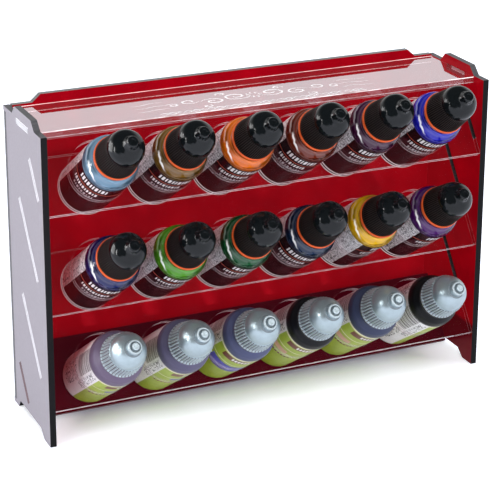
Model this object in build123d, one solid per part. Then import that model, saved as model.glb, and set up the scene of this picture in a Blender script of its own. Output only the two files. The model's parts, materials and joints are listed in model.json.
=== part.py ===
from build123d import *
import os
from math import cos, radians, sin, tan

os.makedirs("parts", exist_ok=True)

# Countertop rack of laser-cut acrylic sheets with three stepped tiers of dropper bottles.
# Units are millimetres. +X is to the right, +Y to the back, +Z up.
# Sizes are in the rack's own frame: x = 0 in the middle, y = 0 at the front edges of the
# side panels and z = 0 on the table. The files are written with the origin at the bottom
# centre of the box that the loaded rack fills, so all pieces share one shift along Y.

# Rack sheets
sheet = 3.0
slot_clearance = 0.1

# Side panels, seen from the side
shoulder_length = 9.0
crest_rise = 4.2
crest_run = 4.3
hook_reach = 1.0
hook_height = 2.2
hook_clearance = 0.1
front_foot_length = 8.7
front_foot_run = 4.6
arch_height = 3.9
rear_foot_length = 7.2
rear_foot_run = 2.8

# Back panel, seen from the front
back_crest_inset = 16.7
back_crest_run = 4.1
back_crest_rise = 3.6
back_shoulder_rise = 0.7

# Tilted plates: one middle plane each, all at the same angle above the table
plate_angle = 54.5
plate_front_y = 1.2
tier_drop = 47.2
foot_plate_drop = 50.3
short_plate_length = 36.0
short_tab_length = 20.0
long_plate_length = 73.6
long_tab_length = 40.4
foot_plate_start = 43.6
foot_plate_end_height = 1.9
foot_plate_gap = 1.35

# Flat plate on top: its gap to the upper tilted plate and its drop from the panels' shoulders
top_plate_gap = 3.8
top_plate_drop = 0.4
top_plate_front = 9.1
top_tab_front = 17.8
top_tab_length = 17.1

# Bottle holes: the web is the least width between two holes, and the margin is from a side
# panel's inner face to the middle of the first hole
bottles_per_tier = 6
hole_clearance = 1.55
hole_web = 4.2
hole_margin = 27.5
hole_from_front = 18.0

# Flasks: clear squeeze bottles, each leaning on the lower rim of its hole
flask_radius = 12.75
flask_wall = 1.0
foot_round = 1.4
flask_lean = 2.5
rest_clearance = 0.25
dark_straight = 43.0
silver_straight = 48.0
shoulder_height = 6.4
bead_radius = 9.6
bead_height = 1.0
neck_radius = 7.6
neck_bore = 6.2
neck_in_cap = 7.4
paint_gap = 4.0

# Dropper nozzle pressed into the neck
plug_depth = 5.0
plug_clearance = 0.05
flange_radius = 7.0
flange_height = 1.2
nozzle_radius = 4.4
nozzle_tip_radius = 1.3
nozzle_height = 10.0
nozzle_bore = 0.6

# Collar ring between a dark cap and its flask
collar_radius = 10.2
collar_height = 1.5
collar_bore_clearance = 0.15

# Caps
cap_clearance = 0.2
cap_radius = 9.8
thread_gap = 0.4
flange_gap = 0.6
dark_cap_height = 25.2
dark_skirt_height = 13.6
dark_dome_radius = 8.4
dark_dome_inset = 0.4
dark_dome_rise = 2.9
silver_cap_height = 22.8
silver_skirt_height = 11.6
silver_dome_radius = 8.7
silver_dome_inset = 0.75
silver_dome_rise = 2.4
dome_top_slope = -0.6
dome_side_slope = 0.05
dome_waist_drop = 4.3
tip_waist_radius = 3.2
tip_radius = 2.6
tip_round = 1.0
cap_cavity_radius = 5.4
cap_cavity_tip_radius = 2.0
cap_tip_wall = 3.4
lip_height = 0.8
lip_width = 0.35
rib_count = 40
rib_groove_radius = 0.45
groove_overrun = 0.6

# How far a cutting solid reaches past the faces that it cuts
cut_overrun = 1.0

# Values worked out from the sizes above
angle = radians(plate_angle)
lean = radians(flask_lean)
axis_angle = angle + lean
hole_radius = flask_radius + hole_clearance
hole_pitch = 2 * hole_radius + hole_web
inner_half_width = hole_margin + (bottles_per_tier - 1) * hole_pitch / 2
half_width = inner_half_width + sheet
tiers_height = 2 * tier_drop + foot_plate_drop
plate_front_z = foot_plate_end_height + tiers_height - foot_plate_start * sin(angle)
upper_plate_top = plate_front_z + short_plate_length * sin(angle) + sheet / 2 * cos(angle)
top_plate_height = upper_plate_top + top_plate_gap + sheet
side_height = top_plate_height + top_plate_drop
crest_height = side_height + crest_rise
foot_plate_rear = (foot_plate_start + short_plate_length) * cos(angle) + sheet / 2 * sin(angle)
side_depth = plate_front_y + foot_plate_rear + foot_plate_gap
rear_end = side_depth + sheet + hook_reach
cap_bore = neck_radius + thread_gap


def tilted_plane(drop):
    # Local x is across the rack, local y runs up the plate from its front end, local z is
    # the plate's upper normal.
    origin = (0, plate_front_y, plate_front_z - drop)
    return Plane(origin=origin, x_dir=(1, 0, 0), z_dir=(0, -sin(angle), cos(angle)))


def centred_tab(start, length, tab_length):
    tab_start = start + (length - tab_length) / 2
    return tab_start, tab_start + tab_length


# Each tilted plate: drop below the upper plate, start and length along its plane, tab
# length, and whether it has the row of bottle holes.
tilted_plates = {
    "upper_tier_plate": (0.0, 0.0, short_plate_length, short_tab_length, True),
    "middle_tier_plate": (tier_drop, 0.0, long_plate_length, long_tab_length, True),
    "lower_tier_plate": (2 * tier_drop, 0.0, long_plate_length, long_tab_length, True),
    "foot_plate": (
        tiers_height,
        foot_plate_start,
        short_plate_length,
        short_tab_length,
        False,
    ),
}


def span_box(x_from, x_to, y_from, y_to, z_from, z_to):
    size = (x_to - x_from, y_to - y_from, z_to - z_from)
    middle = ((x_from + x_to) / 2, (y_from + y_to) / 2, (z_from + z_to) / 2)
    return Pos(*middle) * Box(*size)


def tilted_plate(drop, start, length, tab_length, with_holes):
    # A sheet between the side panels, with one tab at each end through the panel's slot.
    tab_start, tab_end = centred_tab(start, length, tab_length)
    half_sheet = sheet / 2
    flat = span_box(
        -inner_half_width, inner_half_width, start, start + length, -half_sheet, half_sheet
    )
    flat += span_box(-half_width, half_width, tab_start, tab_end, -half_sheet, half_sheet)
    if with_holes:
        for number in range(bottles_per_tier):
            centre = Pos(bottle_x(number), hole_from_front, 0)
            flat -= centre * Cylinder(hole_radius, sheet + 2 * cut_overrun)
    return tilted_plane(drop).location * flat


def top_plate():
    bottom = top_plate_height - sheet
    flat = span_box(
        -inner_half_width, inner_half_width, top_plate_front, side_depth, bottom, top_plate_height
    )
    tab_end = top_tab_front + top_tab_length
    flat += span_box(-half_width, half_width, top_tab_front, tab_end, bottom, top_plate_height)
    return flat


def side_outline():
    crest_front = shoulder_length + crest_run
    crest_rear = side_depth - shoulder_length - crest_run
    rear_foot_start = rear_end - rear_foot_length
    return [
        (0, 0),
        (front_foot_length, 0),
        (front_foot_length + front_foot_run, arch_height),
        (rear_foot_start - rear_foot_run, arch_height),
        (rear_foot_start, 0),
        (rear_end, 0),
        (rear_end, hook_height),
        (side_depth, hook_height),
        (side_depth, side_height - hook_height),
        (rear_end, side_height - hook_height),
        (rear_end, side_height),
        (side_depth - shoulder_length, side_height),
        (crest_rear, crest_height),
        (crest_front, crest_height),
        (shoulder_length, side_height),
        (0, side_height),
    ]


def side_panel(left_face):
    # The slots are a little longer and wider than the tabs that pass through them.
    profile = Plane.YZ * make_face(Polyline(*side_outline(), close=True))
    panel = Pos(left_face, 0, 0) * extrude(profile, sheet)
    cut_from = left_face - cut_overrun
    cut_to = left_face + sheet + cut_overrun
    reach = sheet / 2 + slot_clearance
    for drop, start, length, tab_length, _ in tilted_plates.values():
        tab_start, tab_end = centred_tab(start, length, tab_length)
        slot = span_box(
            cut_from,
            cut_to,
            tab_start - slot_clearance,
            tab_end + slot_clearance,
            -reach,
            reach,
        )
        panel -= tilted_plane(drop).location * slot
    panel -= span_box(
        cut_from,
        cut_to,
        top_tab_front - slot_clearance,
        top_tab_front + top_tab_length + slot_clearance,
        top_plate_height - sheet - slot_clearance,
        top_plate_height + slot_clearance,
    )
    return panel


def back_panel():
    # The side panels' hooks hold the panel by its lower edge and its notched upper corners.
    bottom = hook_height + hook_clearance
    notch = side_height - hook_height - hook_clearance
    notch_x = inner_half_width - hook_clearance
    shoulder = side_height + back_shoulder_rise
    crest = shoulder + back_crest_rise
    crest_x = half_width - back_crest_inset
    right = [
        (half_width, bottom),
        (half_width, notch),
        (notch_x, notch),
        (notch_x, shoulder),
        (crest_x + back_crest_run, shoulder),
        (crest_x, crest),
    ]
    left = [(-x, z) for x, z in reversed(right)]
    profile = Plane.XZ * make_face(Polyline(*right, *left, close=True))
    return Pos(0, side_depth, 0) * extrude(profile, -sheet)


def bottle_x(number):
    return (number - (bottles_per_tier - 1) / 2) * hole_pitch


def seat_depth(drop_to_seat):
    # How far the flask's foot is behind the middle plane of the plate it passes through,
    # measured along the flask, when its lower edge rests on the plate below.
    spacing = drop_to_seat * cos(angle)
    edge = (flask_radius - foot_round) * sin(lean) + foot_round * (1 - cos(lean))
    return (spacing - sheet / 2 - rest_clearance - edge) / cos(lean)


def flask_plane(number, tier_plate_drop, drop_to_seat):
    # The flask leans on the upper edge of its hole's lower rim.
    rim = hole_from_front - hole_radius
    crossing = rim + (flask_radius + rest_clearance) / cos(lean) + sheet / 2 * tan(lean)
    depth = seat_depth(drop_to_seat)
    plane = tilted_plane(tier_plate_drop)
    foot = plane.from_local_coords(
        (bottle_x(number), crossing + depth * sin(lean), -depth * cos(lean))
    )
    return Plane(origin=foot, x_dir=(1, 0, 0), z_dir=(0, -sin(axis_angle), cos(axis_angle)))


def turned(edges):
    # Revolves a closed outline of (radius, height) points about Z.
    return revolve(Plane.XZ * make_face(edges), Axis.Z)


def flask(straight, cap_seat):
    # Thin-walled bottle with a rounded foot, a rounded shoulder, a bead and a plain neck.
    bead_bottom = straight + shoulder_height
    bead_top = bead_bottom + bead_height
    neck_top = bead_top + cap_seat + neck_in_cap
    inner = flask_radius - flask_wall
    outline = Polyline(
        (bead_radius, bead_bottom),
        (bead_radius, bead_top),
        (neck_radius, bead_top),
        (neck_radius, neck_top),
        (neck_bore, neck_top),
        (neck_bore, bead_bottom - flask_wall),
        (inner, straight),
        (inner, flask_wall),
        (0, flask_wall),
        (0, 0),
        (flask_radius - foot_round, 0),
    )
    foot = RadiusArc((flask_radius - foot_round, 0), (flask_radius, foot_round), -foot_round)
    wall = Line((flask_radius, foot_round), (flask_radius, straight))
    shoulder = TangentArc((flask_radius, straight), (bead_radius, bead_bottom), tangent=(0, 1))
    return turned([outline, foot, wall, shoulder])


def paint(straight):
    # The paint fills the flask to a little below its shoulder.
    return Pos(0, 0, flask_wall) * Cylinder(
        flask_radius - flask_wall,
        straight - paint_gap - flask_wall,
        align=(Align.CENTER, Align.CENTER, Align.MIN),
    )


def nozzle(straight, cap_seat):
    neck_top = straight + shoulder_height + bead_height + cap_seat + neck_in_cap
    flange_top = neck_top + flange_height
    tip = flange_top + nozzle_height
    plug = neck_bore - plug_clearance
    outline = Polyline(
        (nozzle_bore, neck_top - plug_depth),
        (plug, neck_top - plug_depth),
        (plug, neck_top),
        (flange_radius, neck_top),
        (flange_radius, flange_top),
        (nozzle_radius, flange_top),
        (nozzle_tip_radius, tip),
        (nozzle_bore, tip),
        close=True,
    )
    return turned(outline)


def collar(straight):
    bead_top = straight + shoulder_height + bead_height
    bore = neck_radius + collar_bore_clearance
    ring = Cylinder(collar_radius, collar_height, align=(Align.CENTER, Align.CENTER, Align.MIN))
    ring -= Cylinder(bore, 2 * (collar_height + cut_overrun))
    return Pos(0, 0, bead_top) * ring


def cap(height, skirt_height, dome_radius, dome_inset, dome_rise):
    # Hollow screw cap from its open end at z = 0: tapered skirt, bell-shaped dome, blunt tip.
    roof = neck_in_cap + flange_height + flange_gap
    waist = height - dome_waist_drop
    cavity_top = height - cap_tip_wall
    shoulder = (dome_radius - dome_inset, skirt_height + dome_rise)
    outline = Polyline(
        (dome_radius, skirt_height),
        (cap_radius, 0),
        (cap_bore, 0),
        (cap_bore, roof),
        (cap_cavity_radius, roof),
        (cap_cavity_tip_radius, cavity_top),
        (0, cavity_top),
        (0, height),
        (tip_radius - tip_round, height),
    )
    tip_end = RadiusArc(
        (tip_radius - tip_round, height), (tip_radius, height - tip_round), tip_round
    )
    tip_side = Line((tip_radius, height - tip_round), (tip_waist_radius, waist))
    bell = Spline(
        (tip_waist_radius, waist),
        shoulder,
        (dome_radius, skirt_height),
        tangents=[(1, dome_top_slope), (dome_side_slope, -1)],
    )
    return turned([outline, tip_end, tip_side, bell])


def silver_cap():
    # The skirt has grooves between its ribs and a thin lip at the open end.
    body = cap(
        silver_cap_height,
        silver_skirt_height,
        silver_dome_radius,
        silver_dome_inset,
        silver_dome_rise,
    )
    taper = (cap_radius - silver_dome_radius) / silver_skirt_height
    groove_end = silver_skirt_height + groove_overrun
    centre_line = Line(
        (cap_radius - taper * lip_height, 0, lip_height),
        (cap_radius - taper * groove_end, 0, groove_end),
    )
    groove = sweep(centre_line.location_at(0) * Circle(rib_groove_radius), centre_line)
    grooves = [Rot(0, 0, 360 * step / rib_count) * groove for step in range(rib_count)]
    lip = Cylinder(
        cap_radius + lip_width, lip_height, align=(Align.CENTER, Align.CENTER, Align.MIN)
    )
    lip -= Cylinder(cap_bore, 2 * (lip_height + cut_overrun))
    return body - grooves + lip


def tip_reach(height):
    # How far a blunt tip at this height above the flask's foot reaches to the front.
    to_front = sin(axis_angle)
    to_side = cos(axis_angle)
    return (height - tip_round) * to_front + (tip_radius - tip_round) * to_side + tip_round


def bottle_height(straight, cap_seat, cap_height):
    return straight + shoulder_height + bead_height + cap_seat + cap_height


# Each tier: the drop of its holed plate, the drop from there to the plate below, the
# flask's straight height, the gap from bead to cap, and whether its caps are dark.
dark_seat = collar_height + cap_clearance
bottle_tiers = {
    "upper": (0.0, tier_drop, dark_straight, dark_seat, True),
    "middle": (tier_drop, tier_drop, dark_straight, dark_seat, True),
    "lower": (2 * tier_drop, foot_plate_drop, silver_straight, cap_clearance, False),
}

# The origin is half way between the foremost cap tip and the side panels' rear hooks.
foremost = min(
    flask_plane(0, drop, seat_drop).origin.Y
    - tip_reach(bottle_height(straight, seat, dark_cap_height if dark else silver_cap_height))
    for drop, seat_drop, straight, seat, dark in bottle_tiers.values()
)
to_origin = Location((0, -(foremost + rear_end) / 2, 0))


def write(name, *solids):
    placed = [to_origin * solid for solid in solids]
    shape = placed[0] if len(placed) == 1 else Compound(children=placed)
    export_step(shape, f"parts/{name}.step")


write("left_side_panel", side_panel(-half_width))
write("right_side_panel", side_panel(inner_half_width))
write("back_panel", back_panel())
write("top_plate", top_plate())
for plate_name, plate_sizes in tilted_plates.items():
    write(plate_name, tilted_plate(*plate_sizes))

dark_cap = cap(
    dark_cap_height, dark_skirt_height, dark_dome_radius, dark_dome_inset, dark_dome_rise
)
ribbed_cap = silver_cap()
for tier, (drop, seat_drop, straight, seat, dark) in bottle_tiers.items():
    tier_flask = flask(straight, seat)
    tier_paint = paint(straight)
    tier_nozzle = nozzle(straight, seat)
    tier_collar = collar(straight)
    tier_cap = Pos(0, 0, bottle_height(straight, seat, 0)) * (dark_cap if dark else ribbed_cap)
    for number in range(bottles_per_tier):
        place = flask_plane(number, drop, seat_drop).location
        label = f"{tier}_{number + 1}"
        write(f"flask_{label}", place * tier_flask, place * tier_paint, place * tier_nozzle)
        write(f"cap_{label}", place * tier_cap)
        if dark:
            write(f"collar_{label}", place * tier_collar)
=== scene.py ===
import json
import math
import bpy
from mathutils import Matrix, Vector


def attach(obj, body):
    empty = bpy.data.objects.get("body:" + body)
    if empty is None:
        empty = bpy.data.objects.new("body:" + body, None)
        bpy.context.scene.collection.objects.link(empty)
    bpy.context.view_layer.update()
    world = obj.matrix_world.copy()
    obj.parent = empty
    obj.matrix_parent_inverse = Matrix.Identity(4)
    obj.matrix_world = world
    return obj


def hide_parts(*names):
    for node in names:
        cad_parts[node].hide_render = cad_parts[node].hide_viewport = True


# A paint rack: its packed sheets get materials, and finer meshes replace the flasks, collars
# and caps. Lengths are in metres, or in mm that are multiplied by MM where they are used.
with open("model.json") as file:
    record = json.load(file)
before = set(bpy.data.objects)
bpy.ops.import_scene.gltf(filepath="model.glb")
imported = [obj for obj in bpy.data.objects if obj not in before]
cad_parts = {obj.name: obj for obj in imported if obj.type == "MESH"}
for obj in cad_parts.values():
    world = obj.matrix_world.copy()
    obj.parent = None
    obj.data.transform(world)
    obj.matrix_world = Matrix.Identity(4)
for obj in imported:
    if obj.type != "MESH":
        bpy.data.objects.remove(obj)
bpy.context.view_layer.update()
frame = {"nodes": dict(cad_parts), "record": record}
nodes = frame["nodes"]
joints = {j["name"]: j for j in frame["record"]["behaviour"]["joints"]}

MM = 0.001
X_AXIS = (1.0, 0.0, 0.0)
Y_AXIS = (0.0, 1.0, 0.0)
Z_AXIS = (0.0, 0.0, 1.0)
BLACK = (0.0, 0.0, 0.0)

# Sizes and places of the rack in mm, rounded from the CAD
SHEET = 3.0
PLATE_ANGLE = math.radians(54.5)
PLATE_NORMAL = (0.0, -math.sin(PLATE_ANGLE), math.cos(PLATE_ANGLE))
PLATE_FRONT_Y = 1.2
UPPER_FRONT_Z = 111.1
TIER_DROP = 47.2
TOP_MIDDLE_Z = 146.6
# along Y, from the CAD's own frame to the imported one, to within 0.01 mm
SHIFT_Y = -10.102

# Sizes of the bottles in mm, as in the CAD. seat is the gap from the bead to the cap.
FLASK_R = 12.75
SHOULDER = 6.4
BEAD_R = 9.6
BEAD_H = 1.0
NECK_R = 7.6
NECK_BORE = 6.2
NECK_IN_CAP = 7.4
BOTTLES_PER_TIER = 6
TIERS = {
    "upper": dict(straight=43.0, seat=1.7, dark=True),
    "middle": dict(straight=43.0, seat=1.7, dark=True),
    "lower": dict(straight=48.0, seat=0.2, dark=False),
}


def node_span(name, axis):
    """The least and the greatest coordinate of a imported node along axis 0, 1 or 2."""
    node = nodes[name]
    along = [(node.matrix_world @ Vector(corner))[axis] for corner in node.bound_box]
    return min(along), max(along)


# Helpers for shader nodes
def new_material(name):
    """An empty material, its node tree and its output node."""
    mat = bpy.data.materials.new(name)
    mat.use_nodes = True
    nt = mat.node_tree
    nt.nodes.clear()
    out = nt.nodes.new("ShaderNodeOutputMaterial")
    return mat, nt, out


def link(nt, source, socket):
    nt.links.new(source, socket)


def feed(nt, socket, value):
    """Gives a socket a number, a vector, a colour or the output of another node."""
    if isinstance(value, (int, float)):
        socket.default_value = value
    elif isinstance(value, (tuple, list)):
        socket.default_value = (*value[:3], 1.0) if socket.type == "RGBA" else value
    else:
        link(nt, value, socket)


def math_node(nt, operation, first, second=None):
    node = nt.nodes.new("ShaderNodeMath")
    node.operation = operation
    feed(nt, node.inputs[0], first)
    if second is not None:
        feed(nt, node.inputs[1], second)
    return node.outputs[0]


def vector_node(nt, operation, first, second):
    node = nt.nodes.new("ShaderNodeVectorMath")
    node.operation = operation
    feed(nt, node.inputs[0], first)
    feed(nt, node.inputs[1], second)
    return node


def dot(nt, vector, axis):
    """How far a vector reaches along an axis."""
    return vector_node(nt, "DOT_PRODUCT", vector, axis).outputs["Value"]


def times(nt, first, second):
    return math_node(nt, "MULTIPLY", first, second)


def mix_color(nt, factor, first, second):
    node = nt.nodes.new("ShaderNodeMix")
    node.data_type = "RGBA"
    feed(nt, [s for s in node.inputs if s.name == "Factor"][0], factor)
    for key, value in (("A", first), ("B", second)):
        feed(nt, [s for s in node.inputs if s.name == key and s.type == "RGBA"][0], value)
    return [s for s in node.outputs if s.type == "RGBA"][0]


def mix_value(nt, factor, first, second):
    node = nt.nodes.new("ShaderNodeMix")
    node.data_type = "FLOAT"
    for index, value in ((0, factor), (2, first), (3, second)):
        feed(nt, node.inputs[index], value)
    return node.outputs[0]


def noise_node(nt, vector, scale, detail, rough):
    node = nt.nodes.new("ShaderNodeTexNoise")
    for key, value in (("Scale", scale), ("Detail", detail), ("Roughness", rough)):
        node.inputs[key].default_value = value
    link(nt, vector, node.inputs["Vector"])
    return node.outputs["Fac"]


def remap(nt, value, from_low, from_high, to_low, to_high):
    """Maps a range of values to another one, and holds what lies outside at its ends."""
    node = nt.nodes.new("ShaderNodeMapRange")
    node.clamp = True
    link(nt, value, node.inputs["Value"])
    for key, end in (("From Min", from_low), ("From Max", from_high), ("To Min", to_low),
                     ("To Max", to_high)):
        node.inputs[key].default_value = end
    return node.outputs["Result"]


def scaled(nt, vector, scale):
    node = nt.nodes.new("ShaderNodeMapping")
    link(nt, vector, node.inputs["Vector"])
    node.inputs["Scale"].default_value = scale
    return node.outputs["Vector"]


def bump(nt, height, strength, distance):
    node = nt.nodes.new("ShaderNodeBump")
    node.inputs["Strength"].default_value = strength
    node.inputs["Distance"].default_value = distance
    link(nt, height, node.inputs["Height"])
    return node.outputs["Normal"]


def principled(nt, **settings):
    """A Principled shader. A setting has its socket's name, with _ in place of spaces."""
    node = nt.nodes.new("ShaderNodeBsdfPrincipled")
    for key, value in settings.items():
        feed(nt, node.inputs[key.replace("_", " ")], value)
    return node


def mix_shader(nt, factor, first, second):
    node = nt.nodes.new("ShaderNodeMixShader")
    link(nt, factor, node.inputs[0])
    link(nt, first.outputs[0], node.inputs[1])
    link(nt, second.outputs[0], node.inputs[2])
    return node


def object_coords(nt):
    return nt.nodes.new("ShaderNodeTexCoord").outputs["Object"]


def object_normal(nt):
    return nt.nodes.new("ShaderNodeTexCoord").outputs["Normal"]


def map_coords(nt):
    """The map "mm": round the bottle in u and up it in v."""
    node = nt.nodes.new("ShaderNodeUVMap")
    node.uv_map = "mm"
    return node.outputs["UV"]


# Materials of the sheets
MIRROR_RED = (0.315, 0.0009, 0.0062)
MIRROR_RED_DEEP = (0.215, 0.0007, 0.0048)
# default colour of the painted shadow on the red
PAINTED_SHADE_RED = (0.048, 0.0010, 0.0048)
SOOT = (0.012, 0.010, 0.011)
BACK_GREY = (0.368, 0.341, 0.373)
EDGE_DARK = (0.009, 0.009, 0.010)
# painted highlight on the cut edges that face up
EDGE_TOP_HIGHLIGHT = (0.085, 0.085, 0.092)
# the normals of a sheet's faces reach this far along its axis, and those of its edges don't
FACE_REACH = 0.7
# strength of the painted glow of the red face, which stands in for the bright room that the mirror
# reflects
PAINTED_RED_GLOW = 0.50
# streaks of the laser per metre along the sheet's thickness and across it
STREAKS_ALONG = 60.0
STREAKS_ACROSS = 2600.0


def sheet_material(name, out_axis, back_color, edge_dark, edge_top_highlight, shade_below=None,
                   shade=PAINTED_SHADE_RED):
    """A mirrored sheet: painted back where the normal runs along out_axis, red mirror on the
    other face and laser-cut edges all round, with a painted highlight on the edges that face up.
    The red has a painted glow for the bright room that the real mirror reflects, and random
    darker patches, a painted reflection. Under the height shade_below the red is painted in the
    darker colour shade, a painted shadow."""
    mat, nt, out = new_material(name)
    co = object_coords(nt)
    nor = object_normal(nt)
    along = dot(nt, nor, out_axis)
    is_back = math_node(nt, "GREATER_THAN", along, FACE_REACH)
    is_front = math_node(nt, "LESS_THAN", along, -FACE_REACH)
    upward = remap(nt, dot(nt, nor, Z_AXIS), 0.2, 0.75, 0.0, 1.0)
    streak_scale = tuple(STREAKS_ALONG if abs(a) > 0.5 else STREAKS_ACROSS for a in out_axis)
    streaks = noise_node(nt, scaled(nt, co, streak_scale), 1.0, 3.0, 0.6)
    # painted highlight: the edges that face up are lighter
    edge = mix_color(nt, upward, edge_dark, edge_top_highlight)
    edge = mix_color(nt, remap(nt, streaks, 0.35, 0.7, 0.0, 0.45), edge, SOOT)
    # random patches: the red is darker in them, a painted reflection, and they also vary the
    # roughness and relief
    red_mottle = noise_node(nt, co, 46.0, 4.0, 0.62)
    fine = noise_node(nt, co, 420.0, 3.0, 0.7)
    red = mix_color(nt, remap(nt, red_mottle, 0.3, 0.75, 0.0, 1.0), MIRROR_RED, MIRROR_RED_DEEP)
    red = mix_color(nt, remap(nt, fine, 0.35, 0.7, 0.0, 0.30), red, MIRROR_RED_DEEP)
    # painted shadow: under shade_below the red turns to the darker colour shade
    if shade_below is not None:
        height = dot(nt, co, Z_AXIS)
        lit = remap(nt, height, shade_below - 0.0015, shade_below + 0.0005, 0.0, 1.0)
        red = mix_color(nt, lit, shade, red)
    grain = noise_node(nt, co, 900.0, 2.0, 0.5)
    back = mix_color(nt, remap(nt, grain, 0.3, 0.7, 0.0, 1.0), back_color,
                     tuple(0.94 * c for c in back_color))
    color = mix_color(nt, is_front, edge, red)
    color = mix_color(nt, is_back, color, back)
    # painted glow of the red face, for the bright room in the mirror
    glow = mix_color(nt, is_front, BLACK, red)
    rough = mix_value(nt, is_front, 0.30, remap(nt, red_mottle, 0.3, 0.8, 0.10, 0.2))
    rough = mix_value(nt, is_back, rough, 0.42)
    shader = principled(nt, Base_Color=color, Roughness=rough, Metallic=times(nt, is_front, 0.45),
                        Specular_IOR_Level=0.03, Emission_Color=glow,
                        Emission_Strength=PAINTED_RED_GLOW)
    relief = math_node(nt, "ADD", times(nt, streaks, 0.5), times(nt, red_mottle, 0.25))
    link(nt, bump(nt, relief, 0.12, 0.0002), shader.inputs["Normal"])
    link(nt, shader.outputs[0], out.inputs["Surface"])
    return mat


# the arrises that face this way get the brightest painted highlight
ARRIS_LIGHT = (0.60, -0.465, -0.651)
MILK = (0.90, 0.80, 0.83)
EDGE_CLEAR = (0.88, 0.74, 0.78)
TAB_END = (0.60, 0.585, 0.61)
TAB_REACH = 0.11
PANE_GLOSS = (0.97, 0.955, 1.0, 1.0)


def clear_material(name, face_normal, centre, face_tint, haze, edge_color, edge_cover,
                   head_on=0.004, power=5.0, arris_cover=1.0, arris=0.45, low_arris=1.0,
                   rear_rim=None):
    """Clear acrylic: the faces show what is behind them with a gloss on top, and the cut edges
    glow with a painted highlight, most of all along their arrises, which are arris mm wide.
    centre is a point on the middle plane. The covers say how much of the edge hides what is
    behind it."""
    mat, nt, out = new_material(name)
    co = object_coords(nt)
    nor = object_normal(nt)
    is_face = math_node(nt, "GREATER_THAN",
                        math_node(nt, "ABSOLUTE", dot(nt, nor, face_normal)), 0.9)
    inside = nt.nodes.new("ShaderNodeNewGeometry").outputs["Backfacing"]
    depth = dot(nt, vector_node(nt, "SUBTRACT", co, centre).outputs["Vector"], face_normal)
    # painted highlight along the arrises, brightest where they face ARRIS_LIGHT, with random glints
    near = remap(nt, math_node(nt, "ABSOLUTE", depth), (SHEET / 2 - arris - 0.08) * MM,
                 (SHEET / 2 - arris) * MM, 0.0, 1.0)
    near = times(nt, near, remap(nt, depth, -0.5 * MM, 0.5 * MM, low_arris, 1.0))
    near = times(nt, near, remap(nt, dot(nt, nor, ARRIS_LIGHT), -0.6, 0.5, 0.70, 1.0))
    glint = noise_node(nt, scaled(nt, co, (1.0, 1.6, 1.6)), 150.0, 2.0, 0.6)
    near = times(nt, near, remap(nt, glint, 0.38, 0.60, 0.55, 1.0))
    near = times(nt, near, mix_value(nt, inside, 1.0, 0.38))
    dust = noise_node(nt, co, 130.0, 5.0, 0.65)
    streak = noise_node(nt, scaled(nt, co, (1.0, 14.0, 14.0)), 30.0, 3.0, 0.5)
    # how much of the face is milky, from fine scratches and dust
    milky = times(nt, remap(nt, times(nt, dust, streak), 0.12, 0.45, 0.82, 1.0), haze)
    shine = times(nt, near, math_node(nt, "SUBTRACT", 1.0, is_face))
    if rear_rim is not None:
        # a painted highlight along the rear edge, for the polished bevel that shines through the
        # whole length
        rim = times(nt, math_node(nt, "GREATER_THAN", dot(nt, co, Y_AXIS), rear_rim),
                    remap(nt, glint, 0.38, 0.60, 0.75, 1.0))
        milky = math_node(nt, "MAXIMUM", milky, rim)
        shine = math_node(nt, "MAXIMUM", shine, rim)
    cover = mix_value(nt, is_face, mix_value(nt, near, edge_cover, arris_cover), milky)
    # the ends of the tabs, which show in the side panels' slots
    is_end = math_node(nt, "GREATER_THAN",
                       math_node(nt, "ABSOLUTE", dot(nt, nor, X_AXIS)), 0.95)
    is_outside = math_node(nt, "GREATER_THAN",
                           math_node(nt, "ABSOLUTE", dot(nt, co, X_AXIS)), TAB_REACH)
    is_tab = times(nt, is_end, is_outside)
    cover = mix_value(nt, is_tab, cover, 0.96)
    # painted glints: random brighter stretches of the edge colour
    gleam = noise_node(nt, scaled(nt, co, (1.0, 3.0, 3.0)), 90.0, 2.0, 0.5)
    edge = mix_color(nt, remap(nt, gleam, 0.4, 0.62, 0.0, 1.0), edge_color,
                     tuple(min(1.0, 1.25 * c) for c in edge_color))
    edge = mix_color(nt, is_tab, edge, TAB_END)
    # painted highlight: the arrises and the rear rim glow in the edge colour
    glow = mix_color(nt, shine, BLACK, edge_color)
    body = principled(nt, Base_Color=mix_color(nt, is_face, edge, MILK), Roughness=0.25,
                      Specular_IOR_Level=0.5, Emission_Color=glow, Emission_Strength=0.70)
    clear = nt.nodes.new("ShaderNodeBsdfTransparent")
    clear.inputs["Color"].default_value = (*face_tint, 1.0)
    gloss = nt.nodes.new("ShaderNodeBsdfGlossy")
    gloss.inputs["Roughness"].default_value = 0.02
    gloss.inputs["Color"].default_value = PANE_GLOSS
    weight = nt.nodes.new("ShaderNodeLayerWeight")
    weight.inputs["Blend"].default_value = 0.5
    grazing = math_node(nt, "POWER", weight.outputs["Facing"], power)
    # light inside the sheet mostly leaves it again, so its faces reflect only from outside
    grazing = times(nt, grazing, math_node(nt, "SUBTRACT", 1.0, inside))
    pane = mix_shader(nt, mix_value(nt, grazing, head_on, 1.0), clear, gloss)
    link(nt, mix_shader(nt, cover, pane, body).outputs[0], out.inputs["Surface"])
    return mat


def dress(name, mat):
    """Gives a packed sheet its material, in all its slots."""
    node = nodes[name]
    for slot in node.material_slots:
        slot.material = mat
    if not node.material_slots:
        node.data.materials.append(mat)


dress("left_side_panel", sheet_material(
    "left_panel_acrylic", (-1.0, 0.0, 0.0), BACK_GREY, EDGE_DARK, EDGE_TOP_HIGHLIGHT))
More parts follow.
